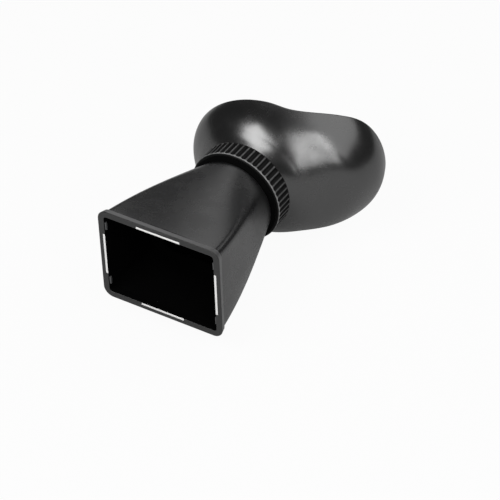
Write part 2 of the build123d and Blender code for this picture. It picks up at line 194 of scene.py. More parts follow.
class Finish:
    """Node tree of a new material, or of a new world where store says so."""

    def __init__(self, name, store=bpy.data.materials):
        self.material = store.new(name)
        self.material.use_nodes = True
        self.tree = self.material.node_tree
        self.tree.nodes.clear()
        self.place = self.node("TexCoord", output="Object")

    def node(self, kind, settings=None, sockets=None, output=0):
        """Adds a node, sets it up, feeds its sockets and returns one of its outputs."""
        made = self.tree.nodes.new("ShaderNode" + kind)
        for key, value in (settings or {}).items():
            setattr(made, key, value)
        for key, value in (sockets or {}).items():
            if isinstance(value, Value):
                self.tree.links.new(value.socket, made.inputs[key])
            else:
                made.inputs[key].default_value = value
        return Value(self, made.outputs[output]) if made.outputs else None

    def noise(self, size_mm, detail=2.0, rough=0.5, stretch=(1, 1, 1)):
        """Cloudy noise from 0 to 1, whose blotches are about size_mm across."""
        place = self.node("Mapping", None, {"Vector": self.place, "Scale": stretch})
        scale = 1 / (size_mm * MM)
        sockets = {"Vector": place, "Scale": scale, "Detail": detail, "Roughness": rough}
        return self.node("TexNoise", None, sockets)

    def along_axis(self):
        """Place along the optical axis, in metres."""
        return self.node("SeparateXYZ", None, {"Vector": self.place}, output="Y")

    def ramp(self, value, low, high):
        """0 below low, 1 above high, and a smooth step between."""
        settings = {"interpolation_type": "SMOOTHSTEP"}
        sockets = {"Value": value, "From Min": low, "From Max": high}
        return self.node("MapRange", settings, sockets)

    def mix(self, factor, first, second):
        """Colour between two colours."""
        settings = {"data_type": "RGBA"}
        sockets = {0: factor, 6: first, 7: second}
        return self.node("Mix", settings, sockets, output=2)

    def bump(self, height, depth_mm):
        """Normal of a surface that rises by depth_mm where height is 1."""
        return self.node("Bump", None, {"Height": height, "Distance": depth_mm * MM})

    def done(self, **sockets):
        """Closes the finish with its shader; Base_Color stands for the socket Base Color."""
        named = {key.replace("_", " "): value for key, value in sockets.items()}
        shader = self.node("BsdfPrincipled", None, named)
        self.node("OutputMaterial", None, {"Surface": shader})
        print("finish:", self.material.name)
        return self.material


def rgb(grey, red=0.0, blue=0.0):
    """Nearly neutral colour: a linear grey with a little more red or blue."""
    return (grey + red, grey, grey + blue, 1)


# %% [markdown]
# ## Moulded black plastic
# The housing is cast in a mould with a spark-eroded skin: a grain of a few tenths of a millimetre
# that spreads reflections into a soft satin sheen. The grain could be a displacement of the mesh,
# but it is far finer than any face, so it is a bump, and so is the larger waviness of the
# moulding. Handling has left the sheen a little uneven, and dust sits on it in specks. The same
# formula, duller and with hardly any reflection, makes the matt barrel and the black lining that
# keeps stray light out of the eyepiece. Their grey is far darker than the housing's and they hardly
# reflect: partly a matt black plastic, partly painted shade that keeps the collar's recess and the
# inside of the housing black.

# %% Moulded plastics


def moulded_plastic(name, grey, sheen, grain_mm, grain_depth, level):
    """Black plastic with moulded grain, faint waviness, specks of dust and uneven sheen."""
    finish = Finish(name)
    grain = finish.noise(grain_mm, 3.0)
    wave = finish.noise(9.0, 1.0)
    handling = finish.ramp(finish.noise(16.0, 4.0, 0.6), 0.42, 0.68)
    dust = finish.ramp(finish.noise(0.9, 2.0), 0.72, 0.78)
    colour = finish.mix(handling * 0.6, rgb(grey, blue=grey * 0.06), rgb(grey * 1.22))
    colour = finish.mix(dust * 0.12, colour, rgb(grey * 15))
    height = grain * grain_depth + wave * 0.02
    return finish.done(
        Base_Color=colour,
        Roughness=sheen + handling * 0.07 - grain * 0.05,
        Normal=finish.bump(height, 1.0),
        Specular_IOR_Level=level,
    )


housing_finish = moulded_plastic("satin_moulded_plastic", 0.006, 0.28, 0.32, 0.003, 0.9)
# Barrel and lining: a very dark grey and hardly any reflection, painted shade for the recess at the
# collar and the inside.
barrel_painted_shade_finish = moulded_plastic("barrel_plastic_painted_shade", 0.001, 0.7, 0.3, 0.004, 0.04)
lining_painted_shade_finish = moulded_plastic("black_lining_painted_shade", 0.001, 0.9, 0.5, 0.02, 0.02)

# %% [markdown]
# The frame is the piece that is held and pushed against a camera. Its front face stays black, and
# its sides are painted a slightly lighter grey: a painted sheen for the light they catch. The
# height along the axis tells the sides from the face, which is simpler and cleaner than painting a
# mask.

# %% Frame plastic with painted sheen


def frame_plastic_painted_sheen():
    """Black plastic of the frame, whose sides are painted a slightly lighter grey as a painted
    sheen.
    """
    finish = Finish("frame_plastic_painted_sheen")
    side = finish.ramp(finish.along_axis(), 0.2 * MM, 0.6 * MM)
    patchy = finish.ramp(finish.noise(2.2, 3.0), 0.3, 0.7)
    grain = finish.noise(0.25, 3.0)
    # Painted sheen: the sides are painted lighter, broken up by the patchy noise.
    painted_sheen = side * (0.75 + 0.25 * patchy)
    return finish.done(
        Base_Color=finish.mix(painted_sheen, rgb(0.005), rgb(0.07, blue=0.001)),
        Roughness=0.33 + patchy * 0.06,
        Normal=finish.bump(grain, 0.002),
        Specular_IOR_Level=0.7,
    )


frame_finish = frame_plastic_painted_sheen()

# %% [markdown]
# ## Housing skin
# Across the axis the housing is a rounded rectangle whose sides bulge a little. Towards the neck
# the sides draw in, the corners grow and the bulge rises, until the outline is a circle. A loft
# through a few drawn curves would do this too, but it bulges as it likes between them. Here each
# outline is made of arcs that meet without a kink: if the side arc of radius R ends where its
# normal has turned by an angle, the corner arc starts there with the same normal. Two linear
# equations, one for x and one for z, then give both side radii.

# %% Columns round the housing
quarter_steps = (14, 12, 14)


def outline_columns():
    """Column places round an outline: u from 0 at the crest to 3 at the flank, with two signs."""
    parts = [np.linspace(k, k + 1, n, endpoint=False) for k, n in enumerate(quarter_steps)]
    u = np.concatenate(parts)
    back = 3 - u
    u_all = np.concatenate([u, back, u, back])
    ones = np.ones_like(u)
    across = np.concatenate([ones, ones, -ones, -ones])
    upward = np.concatenate([ones, -ones, -ones, ones])
    return u_all, across, upward


def outline(half_width, half_height, corner, angle, inset, y):
    """Rows of outlines: all arguments are arrays with one number a row.

    A point lies on the top arc, the corner arc or the side arc; its place is the arc's centre
    plus the arc's radius along the normal (sin t, cos t), where t runs from 0 at the crest.
    """
    half_width, half_height, corner, angle, inset, y = (
        np.broadcast_to(v, np.shape(y))[:, None]
        for v in (half_width, half_height, corner, np.radians(angle), inset, y)
    )
    sine, rise = np.sin(angle), 1 - np.cos(angle)
    scale = sine**2 - rise**2
    top = ((half_width - corner) * sine - (half_height - corner) * rise) / scale
    side = ((half_height - corner) * sine - (half_width - corner) * rise) / scale
    u, across, upward = outline_columns()
    middle = np.pi / 2 - 2 * angle
    t = angle * np.clip(u, 0, 1) + middle * np.clip(u - 1, 0, 1) + angle * np.clip(u - 2, 0, 1)
    centre_x = np.where(u < 1, 0, np.where(u > 2, half_width - corner - side, top * sine))
    low = half_height - corner - top
    centre_z = np.where(u < 1, low, np.where(u > 2, 0, low + top * (1 - rise)))
    radius = corner - inset + np.where(u < 1, top, np.where(u > 2, side, 0))
    x = centre_x + radius * np.sin(t)
    z = centre_z + radius * np.cos(t)
    return np.stack([across * x, y + 0 * x, upward * z], -1)


print("columns round the housing:", len(outline_columns()[0]))

# %% Rows along the housing
front_half = (shell_high - shell_low)[[0, 2]] / 2
housing_length = shell_high[1] - shell_low[1]
neck_end = shell_high[1]
neck_radius = 23.1
front_corner = 3.9
width_taper, height_taper = 1.62, 0.87
corner_growth, bulge_growth = 3.0, 0.95
front_bulge, neck_bulge = 2.3, 22.5


def housing_rows(share, inset):
    """Outlines of the housing at shares of its length, parallel to the skin at an inset."""
    share = np.asarray(share, float)
    half_width = neck_radius + (front_half[0] - neck_radius) * (1 - share**width_taper)
    half_height = neck_radius + (front_half[1] - neck_radius) * (1 - share**height_taper)
    corner = front_corner + (neck_radius - front_corner) * share**corner_growth
    angle = front_bulge + (neck_bulge - front_bulge) * share**bulge_growth
    y = shell_low[1] + share * housing_length
    return outline(half_width, half_height, corner, angle, inset, y)


def round_rows(radius, y):
    """Circles whose columns line up with the housing's outlines."""
    radius, y = np.asarray(radius, float), np.asarray(y, float)
    return outline(radius, radius, radius, neck_bulge, 0.0, y)


print("width half way, mm:", np.ptp(housing_rows([0.5], 0.0)[..., 0]).round(2))

# %% [markdown]
# The wall of the housing is one closed loop of rows: along the outside from the frame to the neck,
# round the edge into the socket for the barrel, over the inner flange and back along the inside.
# A few rows close together at each edge make the small round there, which a Bevel modifier would
# have to find by angle.

# %% Housing mesh
housing_wall, recess_wall, round_depth = 2.0, 1.35, 0.25
socket_radius, socket_round, socket_step = 21.5, 0.1, 4.0
flange_bore, flange_thickness = 17.9, 2.0
spigot_start = span("neck_barrel")[0][1]
flange_start = spigot_start - flange_thickness
flange_share = (flange_start - shell_low[1]) / housing_length
outer_rows, inner_rows = 70, 40
even_shares, recess_end_share = (0.012, 0.996), 0.03
front_shares, front_insets = (0.0, 0.0015, 0.004), (round_depth, 0.08, 0.0)
neck_shares, neck_insets = (0.9985, 1.0), (0.06, round_depth)
recess_shares = (0.022, 0.0)
outer_share = np.concatenate([front_shares, np.linspace(*even_shares, outer_rows), neck_shares])
outer_inset = np.concatenate([front_insets, np.zeros(outer_rows), neck_insets])
inner_share = np.linspace(flange_share, recess_end_share, inner_rows)
housing_skin = np.concatenate([
    housing_rows(outer_share, outer_inset),
    round_rows([socket_radius + socket_round, socket_radius], [neck_end, neck_end - socket_round]),
    round_rows([socket_radius] * 2, [neck_end - socket_step, spigot_start]),
    round_rows([flange_bore] * 2, [spigot_start, flange_start]),
    housing_rows(inner_share, housing_wall),
    housing_rows(recess_shares, recess_wall),
])
# The inside and the socket at the neck get the black lining finish: painted shade.
housing_lining = (lining_painted_shade_finish, len(outer_share), len(housing_skin) - 1)
make_piece("housing_skin", [(housing_skin, True, True)], housing_finish, "housing",
           ["body_shell"], 40, housing_lining)

# %% [markdown]
# ## Frame round the window
# The frame is a moulded rim. It could be cut out of a block with booleans, but their edges are hard
# to round, so it is one profile carried round a rounded rectangle. Its place on the path is the
# window's edge plus an offset along the outward normal. Where a magnet is let in, the profile's
# inner front corner steps back to make the notch, so the path has two points at each end of a
# notch: the step between them is the notch's end wall.

# %% Path of the frame
frame_high = span("front_frame")[1]
rim_width = 3.5
window = frame_high[[0, 2]] - rim_width
window_corner, frame_corner, corner_points = 1.7, 5.5, 14
magnet_low, magnet_high = span("magnet_top")
seat_gap = 0.05
notch_half = magnet_high[0] + seat_gap
notch_depth = magnet_high[1] + seat_gap
notch_step = magnet_high[2] - magnet_low[2] + seat_gap


def frame_path():
    """Window edge as (x, z), the way from there to the frame's edge, and 1 in a notch.

    Along a side the way is the outward normal times the rim's width. Round a corner it leads from
    the window's arc to the frame's own arc, whose centre lies a little further out.
    """
    places, ways, cut = [], [], []
    along = np.array([-1, -1, 1, 1]) * notch_half
    growth = frame_corner - window_corner
    shift = rim_width - growth
    for side in range(4):
        turn = side * np.pi / 2
        out = np.array([np.sin(turn), np.cos(turn)])
        right = np.array([np.cos(turn), -np.sin(turn)])
        half, reach = (window[0], window[1]) if side % 2 == 0 else (window[1], window[0])
        places.append(reach * out + along[:, None] * right)
        ways.append(np.broadcast_to(out, (4, 2)) * rim_width)
        cut.append([0, 1, 1, 0])
        bend = np.linspace(0, np.pi / 2, corner_points)[:, None]
        normal = out * np.cos(bend) + right * np.sin(bend)
        centre = (reach - window_corner) * out + (half - window_corner) * right
        places.append(centre + window_corner * normal)
        ways.append(growth * normal + shift * (out + right))
        cut.append([0] * corner_points)
    return np.concatenate(places), np.concatenate(ways) / rim_width, np.concatenate(cut)


path, path_way, path_cut = frame_path()
print("points along the frame:", len(path), "of which in notches:", path_cut.sum())

# %% [markdown]
# The profile starts at the rear end of the lip, inside the window. It runs to the front face, over
# the bevel to the outside, and back to the lip, which is glued into the housing. In a notch its
# front inner points move out by the magnet's thickness.

# %% Rows of the frame
lip_end, lip_wall = frame_high[1], 1.0
frame_depth, frame_draft = shell_low[1], 0.8
bevel, bevel_round = 0.2, 0.06
window_round, window_round_middle, face_start = 0.12, 0.04, 0.2
back_round, back_round_middle = 0.2, 0.1
notch_rounds, notch_heights = np.array((0.03, 0.08, 0.14)), (0.08, 0.03, 0)
rear = rim_width - frame_draft
lean = frame_draft / (frame_depth - bevel)
plain = np.array([
    (0, lip_end),
    (0, notch_depth),
    (0, notch_depth),
    (0, window_round),
    (window_round_middle, window_round_middle),
    (window_round, 0),
    (face_start, 0),
    (rim_width - bevel - bevel_round, 0),
    (rim_width - bevel, 0),
    (rim_width - bevel_round, bevel_round),
    (rim_width, bevel),
    (rim_width - bevel_round * lean, bevel + bevel_round),
    (rear + back_round * lean, frame_depth - back_round),
    (rear + back_round_middle * lean, frame_depth - back_round_middle),
    (rear - back_round_middle, frame_depth),
    (rear - back_round, frame_depth),
    (lip_wall, frame_depth),
    (lip_wall, lip_end),
])
notched = plain.copy()
notched[2:6, 0] = notch_step
notched[3:6, 1] = notch_heights
notched[4:7, 0] = notch_step + notch_rounds
profile = np.where(path_cut[:, None, None] == 1, notched, plain)
edge_points = path[:, None] + profile[..., :1] * path_way[:, None]
frame_skin = np.stack([edge_points[..., 0], profile[..., 1], edge_points[..., 1]], -1)
frame_skin = frame_skin.transpose(1, 0, 2)
print("rows and columns of the frame:", frame_skin.shape[:2])

# %% [markdown]
# Small parts such as the tabs and the magnets are soft-edged blocks. A cube with a Bevel modifier
# would do, but a grid fits in with the rest: each of its points is first clamped to an inner
# block, and then steps out from there by the edge radius. On a face it steps straight out, and
# near an edge or a corner it fans out into a round.

# %% Soft blocks
block_places = np.array([-1, -0.995, -0.97, 0.97, 0.995, 1])
block_rings = (0, 0.9, 0.97, 0.995)


def soft_block(low, high, radius):
    """Closed grid of a block with round edges.

    Rows run from the middle of one end face to the middle of the other along Y, and columns run
    round. A point is the sharp block's point clamped to the inner block, plus the radius along
    the difference between the two.
    """
    low, high = np.array(low, float), np.array(high, float)
    middle, half = (low + high) / 2, (high - low) / 2
    go, back, ones = block_places, block_places[::-1], np.ones(len(block_places))
    sides = [(go, -ones), (ones, go), (back, ones), (-ones, back)]
    side = np.concatenate([np.stack(pair, -1) for pair in sides])
    scales = [*block_rings, *ones, *block_rings[::-1]]
    levels = [*[-1] * len(block_rings), *block_places, *[1] * len(block_rings)]
    scale, level = np.array(scales, float)[:, None], np.array(levels, float)[:, None]
    cube = np.stack([side[:, 0] * scale, level + 0 * side[:, 0], side[:, 1] * scale], -1) * half
    inner = np.clip(cube, radius - half, half - radius)
    away = cube - inner
    length = np.linalg.norm(away, axis=-1, keepdims=True)
    return middle + inner + radius * away / np.maximum(length, 1e-9)


# %% Tabs and frame mesh
tab_reach, tab_root, tab_length, tab_round = 0.9, 0.6, 4.5, 0.18
tab_front, tab_back = 0.6, 1.8
tab_middle = (magnet_high[0] + window[1] - window_corner) / 2
tabs = []
for across in (-1, 1):
    for upward in (-1, 1):
        ends = sorted([across * (window[0] - tab_reach), across * (window[0] + tab_root)])
        z = upward * tab_middle
        low = (ends[0], tab_front, z - tab_length / 2)
        high = (ends[1], tab_back, z + tab_length / 2)
        tabs.append((soft_block(low, high, tab_round), False, True))
# The window's inner wall gets the black lining finish: painted shade.
make_piece("window_frame", [(frame_skin, True, True)] + tabs, frame_finish, "housing",
           ["front_frame"], 50, (lining_painted_shade_finish, 0, 3))

# %% [markdown]
# ## Magnets
# The four bars are plated with nickel, which is bright and nearly white. On such a small bar only
# a fine brushing along it and a slight yellow tinge tell the plating from chrome. A full metal
# would mirror the dark room, so the finish is only partly metallic, and its pale base stays light
# from every side. Only the front face is bare: the other faces get the black lining finish, painted
# shade where they sit in the notch.

# %% Nickel and magnets
magnet_round = 0.1
magnet_face_rows = 6


def nickel():
    """Bright plating, brushed very finely, with faint cloudy dulling."""
    finish = Finish("nickel_plate")
    brushed = finish.noise(0.3, 2.0, stretch=(0.06, 1, 0.06))
    cloud = finish.ramp(finish.noise(3.0, 3.0), 0.4, 0.7)
    colour = finish.mix(cloud * 0.5, (1, 0.995, 0.985, 1), (0.93, 0.92, 0.9, 1))
    return finish.done(
        Base_Color=colour,
        Metallic=0.4,
        Roughness=0.28 + cloud * 0.08 + brushed * 0.06,
    )


nickel_finish = nickel()
for side in ("top", "bottom", "left", "right"):
    name = "magnet_" + side
    bar = soft_block(*span(name), magnet_round)
    # The faces behind the front get the black lining finish: painted shade in the notch.
    make_piece(name + "_bar", [(bar, False, True)], nickel_finish, "housing", [name],
               lining=(lining_painted_shade_finish, magnet_face_rows, len(bar)))

# %% [markdown]
# ## Focus ring
# The ring is turned by the finger tips. Its outside is a cylinder with fifty flutes, each a hollow
# scoop cut by a round bar with a pointed end that lies along the ring. Fifty boolean cuts would be
# slow and leave ragged faces, so the scoop's depth is worked out. A ray from the axis at an angle
# from the bar's middle enters the bar at R cos(angle) - sqrt(r² - (R sin(angle))²), where R is how
# far out the bar's axis lies and r is its radius there. What that leaves short of the ring's
# radius is the flute's depth.

# %% Sizes of the ring
ring_low, ring_high = span("focus_ring")
ring_start, ring_end = ring_low[1], ring_high[1]
ring_radius = ring_high[0]
ring_bore, bore_round = 22.2, 0.2
flute_count = 50
flute_width, flute_depth, flute_land = 2.6, 0.8, 1.0
scoop_radius = ((flute_width / 2) ** 2 + flute_depth**2) / (2 * flute_depth)
tip_slope = 0.9
edge_blur, bar_height = 0.07, 0.65
pitch = 2 * np.pi * ring_radius / flute_count
print("a flute every", pitch.round(2), "mm, scooped by a bar of radius", round(scoop_radius, 2))

# %% [markdown]
# The columns crowd at both edges of each flute and the rows crowd at its pointed tip, so that the
# edges stay crisp with few faces. An edge is blurred by taking (s + sqrt(s² + e²)) / 2 for the
# depth s, which is nearly s in the flute and nearly 0 on the land. It still sinks the land by
# about e² / 4h, where h is how high the bar's axis lies above the skin, and this is taken off.

# %% Surface of the ring
edge_places = (-0.95, -0.6, -0.36, -0.2, -0.11, -0.05, 0.0, 0.05, 0.12)
bevel_places, bevel_depths = (0, 0.05, 0.3, 0.55, 0.68, 0.8), (0.68, 0.6, 0.32, 0.08, 0.0, 0.0)
rear_places, rear_depths = (0.03, 0.0), (0.03, 0.12)
tip_places, tip_rows = (-0.12, 0.9), 14
back_gap, rear_gap, back_rows = 1.3, 0.12, 6


def ring_surface():
    """Rows along the ring and columns round it, with the flutes sunk in."""
    local = np.concatenate([[0], flute_width / 2 + np.array(edge_places), [pitch / 2]])
    local = np.concatenate([-local[:0:-1], local[:-1]])
    turn = (np.arange(flute_count)[:, None] * pitch + local).ravel() / ring_radius
    bevel_y = ring_start + np.array(bevel_places)
    tip_y = ring_start + flute_land + np.linspace(*tip_places, tip_rows)
    back_y = np.linspace(ring_start + flute_land + back_gap, ring_end - rear_gap, back_rows)
    y = np.concatenate([bevel_y, tip_y, back_y, ring_end - np.array(rear_places)])[:, None]
    chamfer = np.zeros_like(y)
    chamfer[:len(bevel_depths), 0] = bevel_depths
    chamfer[-len(rear_depths):, 0] = rear_depths
    out = ring_radius - flute_depth + scoop_radius
    tip = ring_start + flute_land - (scoop_radius - flute_depth) * tip_slope
    bar = np.clip((y - tip) / tip_slope, 0, scoop_radius)
    angle = np.tile(local, flute_count)[None] / ring_radius
    chord = np.sqrt(np.maximum(bar**2 - (out * np.sin(angle)) ** 2, 0))
    sunk = ring_radius - out * np.cos(angle) + chord
    sunk = (sunk + np.hypot(sunk, edge_blur)) / 2 - edge_blur**2 / (4 * bar_height)
    radius = ring_radius - np.maximum(sunk, chamfer) + 0 * y
    return np.stack([radius * np.cos(turn), y + 0 * radius, radius * np.sin(turn)], -1)


ring_outside = ring_surface()
ring_turn = np.arctan2(ring_outside[0, :, 2], ring_outside[0, :, 0])
bore_places = (ring_end, ring_end - bore_round, ring_start + bore_round, ring_start)
bore_y = np.array(bore_places)[:, None]
bore_r = ring_bore + np.array((bore_round, 0, 0, bore_round))[:, None]
ring_inside = [bore_r * np.cos(ring_turn), bore_y + 0 * ring_turn, bore_r * np.sin(ring_turn)]
ring_skin = np.concatenate([ring_outside, np.stack(ring_inside, -1)])
print("rows and columns of the ring:", ring_skin.shape[:2])

# %% [markdown]
# The ribs are painted lighter than the flutes, and lighter still along the front edge: a painted
# highlight where the ribs and the front bevel catch the light. The ribs are also smoother. The
# distance from the axis already tells a rib from a flute, so the mask is a ramp on that distance,
# broken up by a little noise.

# %% Grip with painted highlights


def grip_painted_highlights():
    """Dark plastic whose ribs are painted lighter and are smoother, with a painted highlight
    strongest at the front edge.
    """
    finish = Finish("grip_plastic_painted_highlights")
    front_ramp = finish.ramp(finish.along_axis(), (ring_start + 0.9) * MM, (ring_start + 1.9) * MM)
    radius = finish.node("VectorMath", {"operation": "MULTIPLY"}, {0: finish.place, 1: (1, 0, 1)})
    radius = finish.node("VectorMath", {"operation": "LENGTH"}, {0: radius}, output="Value")
    raised = finish.ramp(radius, (ring_radius - 0.2) * MM, (ring_radius - 0.03) * MM)
    patchy = finish.ramp(finish.noise(1.4, 3.0), 0.35, 0.7)
    grain = finish.noise(0.2, 2.0)
    # Painted highlight: the ribs are painted lighter, and near the front edge much lighter still.
    painted_sheen = raised * (0.6 + 0.4 * patchy)
    colour = finish.mix(painted_sheen, rgb(0.001), rgb(0.085))
    return finish.done(
        Base_Color=finish.mix(painted_sheen * (1 - front_ramp), colour, rgb(0.24)),
        Roughness=0.6 - painted_sheen * 0.25,
        Normal=finish.bump(grain, 0.004),
        Specular_IOR_Level=0.15,
    )


make_piece("grip_ring_skin", [(ring_skin, True, True)], grip_painted_highlights(), "grip_ring",
           ["focus_ring"], 50)

# %% [markdown]
# ## Rubber eyecup
# The cup is a round bowl with a wing that swells out towards the temple and keeps side light from
# the eye. It could be sculpted, but then its wall and its bead wouldn't fit the ring that holds
# it. So at each height its outline is a formula: the bowl's radius plus the wing's reach times a
# power of (1 + cos) / 2, which is 1 towards the wing and fades fast to both sides. How bowl and
# wing grow with height is given at a few stations, and a smooth curve runs through them. Soft
# rubber has no sudden change of curvature, so that curve is averaged over a short stretch.

# %% Sizes of the eyecup
cup_start = span("eyecup")[0][1]
cup_length, cup_wall = 54.8, 2.2
cup_base, cup_bowl, cup_wing = 26.2, 43.2, 20.2
wing_power, flattening = 4.0, 0.86
stations = (0.0, 0.045, 0.125, 0.23, 0.385, 0.577, 0.77, 0.89, 0.95, 1.0)
bowl_shares = (0.0, 0.23, 0.545, 0.875, 0.95, 1.0, 0.98, 0.79, 0.66, 0.52)
wing_shares = (0.0, 0.044, 0.12, 0.19, 0.7, 0.94, 1.02, 1.02, 1.01, 1.0)
ease_share, ease_steps = 0.09, np.linspace(-1, 1, 9)


def through(places, values, at):
    """Smooth curve through given values: cubic pieces whose slopes are centred differences."""
    places, values = np.array(places, float), np.array(values, float)
    slopes = np.gradient(values, places)
    k = np.clip(np.searchsorted(places, at) - 1, 0, len(places) - 2)
    width = places[k + 1] - places[k]
    t = np.clip((at - places[k]) / width, 0, 1)
    h = t * t * (3 - 2 * t)
    start = t * (1 - t) ** 2 * width * slopes[k]
    end = t * t * (t - 1) * width * slopes[k + 1]
    return values[k] * (1 - h) + values[k + 1] * h + start + end


def eased(values, share):
    """Curve through the stations, averaged over a window that narrows towards both ends."""
    reach = np.minimum(np.minimum(share, 1 - share).clip(0), ease_share)
    return sum(through(stations, values, share + k * reach) for k in ease_steps) / len(ease_steps)


def cup_radius(turn, y):
    """Distance from the axis to the cup's outer skin.

    It is the bowl's radius, drawn in a little except on the nose's side, plus the wing's reach
    times ((1 + cos) / 2) to the wing's power.
    """
    share = (y - cup_start) / cup_length
    swell = eased(bowl_shares, share)
    away = ((1 - np.cos(turn)) / 2) ** 2
    flat = 1 - (1 - flattening) * (1 - away) * swell
    toward = ((1 + np.cos(turn)) / 2) ** wing_power
    bowl = cup_base + (cup_bowl - cup_base) * swell
    return bowl * flat + cup_wing * eased(wing_shares, share) * toward


half_way = cup_start + np.array([cup_length]) / 2
print("reach towards the wing half way up, mm:", cup_radius(0.0, half_way).round(1))

# %% [markdown]
# The rim is the height at which the wall meets an S-shaped sweep over x, low at the nose and high
# at the temple. The wall's own x depends on that height, so each new x is put back into the sweep
# until it settles. The inner wall lies a wall's thickness along the normal, a half circle closes
# the rim, and a plain bore sits on the sleeve that carries the cup.

# %% Rim of the eyecup
carrier_high = span("cup_carrier")[1]
lock_ring_depth, carrier_flange_height = 1.3, 1.3
bead_end = carrier_high[1] - lock_ring_depth
bead_bore = carrier_high[0] - carrier_flange_height + seat_gap
rim_nose, rim_middle, rim_wing = 15.9, 23.5, 53.2
rim_x = np.array((-1.25, -0.95, -0.435, 0.0, 0.21, 0.55, 0.74, 0.98, 1.25)) * (cup_bowl + cup_wing)
nose_rise = np.array((0.0, 0.06, 0.505, 1.0)) * (rim_middle - rim_nose) + rim_nose
wing_rise = np.array((0.04, 0.5, 0.9, 0.99, 1.0)) * (rim_wing - rim_middle) + rim_middle
rim_height = cup_start + np.concatenate([nose_rise, wing_rise])
settling_rounds, row_crowding, hidden_rows, lip_points = 60, 1.15, 8, 10


def rim_of(turn):
    """Height of the rim's base at each angle, found by feeding x back into the sweep."""
    rim = np.full_like(turn, cup_start + cup_length / 2)
    for _ in range(settling_rounds):
        x = cup_radius(turn, rim) * np.cos(turn)
        rim = 0.5 * rim + 0.5 * (through(rim_x, rim_height, x) - cup_wall / 2)
    return rim


def outward(surface):
    """Slope along the rows, and unit normal away from the axis, of a surface closed round."""
    along = np.gradient(surface, axis=0)
    wide = np.concatenate([surface[:, -1:], surface, surface[:, :1]], 1)
    round_way = (wide[:, 2:] - wide[:, :-2]) / 2
    normal = np.cross(along, round_way)
    normal /= np.linalg.norm(normal, axis=-1, keepdims=True)
    return along, normal * np.sign((normal * surface * (1, 0, 1)).sum(-1, keepdims=True))


def cup_rows(columns=288, rows=90):
    """Closed loop of rows: outer wall, round rim, inner wall, floor and bore."""
    turn = np.linspace(0, 2 * np.pi, columns, endpoint=False)[None]
    t = np.linspace(0, 1, rows)[:, None] ** row_crowding
    y = cup_start + (rim_of(turn) - cup_start) * t
    radius = cup_radius(turn, y)
    outer = np.stack([radius * np.cos(turn), y, radius * np.sin(turn)], -1)
    along, normal = outward(outer)
    inner = outer - cup_wall * normal
    up = along[-1] / np.linalg.norm(along[-1], axis=-1, keepdims=True)
    middle, half = (outer[-1] + inner[-1]) / 2, (outer[-1] - inner[-1]) / 2
    bend = np.linspace(0, np.pi, lip_points)[1:-1, None, None]
    lip = middle + half * np.cos(bend) + up * cup_wall / 2 * np.sin(bend)
    inner = inner[hidden_rows:][::-1]
    inner[..., 1] = np.maximum(inner[..., 1], bead_end)
    bore_height = np.array([bead_end, cup_start])[:, None] + 0 * turn
    bore = np.stack([bead_bore * np.cos(turn + 0 * bore_height), bore_height,
                     bead_bore * np.sin(turn + 0 * bore_height)], -1)
    return np.concatenate([outer, lip, inner, bore])


cup_skin = cup_rows()
print("rows and columns of the cup:", cup_skin.shape[:2])

# %% [markdown]
# The rubber is a soft black compound with a satin skin. Its highlights are broad and bright, so
# the reflection is raised, and the roughness spreads it over the bowl and the wing. Handling leaves
# a cloudy bloom and a few specks of lint. They could be painted, but noise covers the whole cup.

# %% Rubber and cup


def soft_rubber():
    """Satin rubber with a cloudy bloom, fine skin texture and a few specks of lint."""
    finish = Finish("soft_rubber")
    skin = finish.noise(0.28, 3.0)
    wave = finish.noise(11.0, 1.0)
    bloom = finish.ramp(finish.noise(14.0, 5.0, 0.62), 0.4, 0.72)
    lint = finish.ramp(finish.noise(0.8, 1.0, stretch=(1, 0.5, 1)), 0.76, 0.8)
    colour = finish.mix(bloom * 0.7, rgb(0.005), rgb(0.008, red=0.0003))
    colour = finish.mix(lint * 0.15, colour, rgb(0.16))
    return finish.done(
        Base_Color=colour,
        Roughness=0.25 + bloom * 0.06 - skin * 0.03,
        Normal=finish.bump(skin * 0.003 + wave * 0.012, 1.0),
        IOR=1.6,
        Specular_IOR_Level=1.0,
    )


rubber_finish = soft_rubber()
make_piece("eyecup_rubber", [(cup_skin, True, True)], rubber_finish, "eyecup_assembly",
           ["eyecup"], 45)

# %% [markdown]
# ## Lenses
# Each glass is biconvex: two spherical caps and a ground edge. A Screw modifier could spin the
# profile, but a grid keeps the poles clean and closed. A cap's height at radius r is
# sqrt(R² - r²) less its value at the edge. The coating tints the reflection slightly violet, and a
# faint smear shows where it was wiped.

# %% Lens shape
lens_dome, lens_radius, lens_edge = 16.9, 18.05, 2.0
cap_points, lens_columns = 24, 128


def spin(profile, columns):
    """Grid of a profile of (radius, y) turned about Y: x = r cos, z = r sin."""
    turn = np.linspace(0, 2 * np.pi, columns, endpoint=False)[None]
    radius, y = profile[:, :1], profile[:, 1:]
    return np.stack([radius * np.cos(turn), y + 0 * turn, radius * np.sin(turn)], -1)


def lens_profile(low, high):
    """Half outline of a biconvex lens, from the front pole to the rear pole."""
    sag = (high - low - lens_edge) / 2
    curve_radius = (lens_dome**2 + sag**2) / (2 * sag)
    radius = np.linspace(0, lens_dome, cap_points)
    cap = np.sqrt(curve_radius**2 - radius**2) - (curve_radius - sag)
    front = np.stack([radius, low + sag - cap], -1)
    rear = np.stack([radius[::-1], high - sag + cap[::-1]], -1)
    edge_rows = [(lens_radius, low + sag), (lens_radius, high - sag)]
    return np.concatenate([front, edge_rows, rear])


# %% Glass and lenses


def coated_glass():
    """Clear glass with a faint coloured bloom in its reflection."""
    finish = Finish("coated_glass")
    smear = finish.ramp(finish.noise(7.0, 4.0), 0.45, 0.8)
    return finish.done(
        Base_Color=(0.96, 0.985, 0.975, 1),
        Roughness=0.01 + smear * 0.02,
        IOR=1.5,
        Transmission_Weight=1.0,
        Coat_Weight=0.3,
        Coat_Tint=(0.93, 0.9, 1.0, 1),
    )


